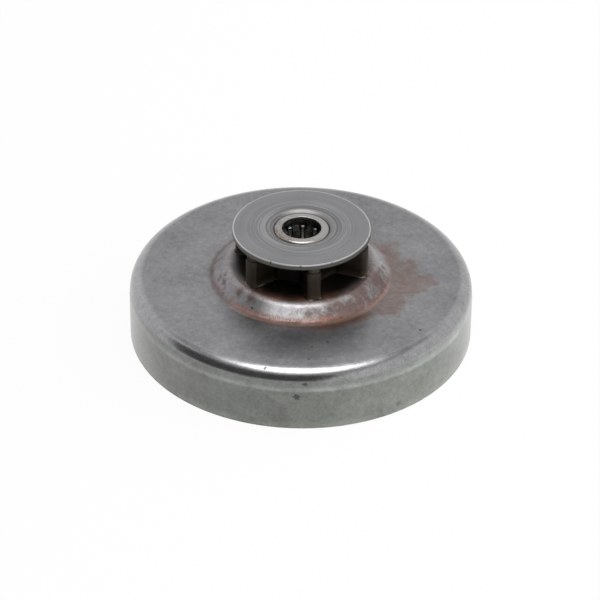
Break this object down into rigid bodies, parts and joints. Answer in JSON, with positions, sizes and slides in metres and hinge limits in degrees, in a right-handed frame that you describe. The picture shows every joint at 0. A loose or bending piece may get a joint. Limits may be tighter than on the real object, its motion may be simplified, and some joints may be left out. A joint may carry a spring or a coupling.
{
  "type": "chainsaw clutch drum with spur sprocket",
  "caption": "Drawn steel chainsaw clutch drum with a brazed spur sprocket and guide washer that drives the saw chain, turning on a pressed-in caged needle bearing.",
  "frame": {"origin": "centre of the drum's open rim, in the plane of the rim", "axes": "+Z along the drum's axis, from the rim towards the sprocket; -Y towards one tooth"},
  "size_m": [0.08, 0.08, 0.028],
  "materials": {
    "drum_steel": "satin drawn steel with brown heat stain round the boss",
    "sprocket_steel": "dark brown, oily heat-treated steel",
    "washer_steel": "fine turned steel",
    "bearing_steel": "bright drawn steel",
    "cage_black": "black oxide, satin",
    "needle_steel": "polished bearing steel"
  },
  "bodies": {
    "drum": {"clutch_drum": "drum_steel", "spur_sprocket": "sprocket_steel", "guide_washer": "washer_steel", "bearing_cup": "bearing_steel"},
    "cage": {"needle_cage": "cage_black"},
    "needle_01": {"needle_01": "needle_steel"},
    "needle_02": {"needle_02": "needle_steel"},
    "needle_03": {"needle_03": "needle_steel"},
    "needle_04": {"needle_04": "needle_steel"},
    "needle_05": {"needle_05": "needle_steel"},
    "needle_06": {"needle_06": "needle_steel"},
    "needle_07": {"needle_07": "needle_steel"},
    "needle_08": {"needle_08": "needle_steel"},
    "needle_09": {"needle_09": "needle_steel"},
    "needle_10": {"needle_10": "needle_steel"}
  },
  "joints": [
    {"name": "cage_spin", "type": "hinge", "parent": "drum", "child": "cage", "pos_m": [0, 0, 0.0219], "axis": [0, 0, 1], "continuous": true},
    {"name": "needle_01_spin", "type": "hinge", "parent": "cage", "child": "needle_01", "pos_m": [0.00525, 0.00034, 0.0219], "axis": [0, 0, 1], "continuous": true},
    {"name": "needle_02_spin", "type": "hinge", "parent": "cage", "child": "needle_02", "pos_m": [0.00405, 0.00336, 0.0219], "axis": [0, 0, 1], "continuous": true},
    {"name": "needle_03_spin", "type": "hinge", "parent": "cage", "child": "needle_03", "pos_m": [0.0013, 0.0051, 0.0219], "axis": [0, 0, 1], "continuous": true},
    {"name": "needle_04_spin", "type": "hinge", "parent": "cage", "child": "needle_04", "pos_m": [-0.00194, 0.00489, 0.0219], "axis": [0, 0, 1], "continuous": true},
    {"name": "needle_05_spin", "type": "hinge", "parent": "cage", "child": "needle_05", "pos_m": [-0.00445, 0.00281, 0.0219], "axis": [0, 0, 1], "continuous": true},
    {"name": "needle_06_spin", "type": "hinge", "parent": "cage", "child": "needle_06", "pos_m": [-0.00525, -0.00034, 0.0219], "axis": [0, 0, 1], "continuous": true},
    {"name": "needle_07_spin", "type": "hinge", "parent": "cage", "child": "needle_07", "pos_m": [-0.00405, -0.00336, 0.0219], "axis": [0, 0, 1], "continuous": true},
    {"name": "needle_08_spin", "type": "hinge", "parent": "cage", "child": "needle_08", "pos_m": [-0.0013, -0.0051, 0.0219], "axis": [0, 0, 1], "continuous": true},
    {"name": "needle_09_spin", "type": "hinge", "parent": "cage", "child": "needle_09", "pos_m": [0.00194, -0.00489, 0.0219], "axis": [0, 0, 1], "continuous": true},
    {"name": "needle_10_spin", "type": "hinge", "parent": "cage", "child": "needle_10", "pos_m": [0.00445, -0.00281, 0.0219], "axis": [0, 0, 1], "continuous": true}
  ],
  "couplings": [
    {"joint": "needle_01_spin", "follows": "cage_spin", "ratio": -8.0267},
    {"joint": "needle_02_spin", "follows": "cage_spin", "ratio": -8.0267},
    {"joint": "needle_03_spin", "follows": "cage_spin", "ratio": -8.0267},
    {"joint": "needle_04_spin", "follows": "cage_spin", "ratio": -8.0267},
    {"joint": "needle_05_spin", "follows": "cage_spin", "ratio": -8.0267},
    {"joint": "needle_06_spin", "follows": "cage_spin", "ratio": -8.0267},
    {"joint": "needle_07_spin", "follows": "cage_spin", "ratio": -8.0267},
    {"joint": "needle_08_spin", "follows": "cage_spin", "ratio": -8.0267},
    {"joint": "needle_09_spin", "follows": "cage_spin", "ratio": -8.0267},
    {"joint": "needle_10_spin", "follows": "cage_spin", "ratio": -8.0267}
  ]
}
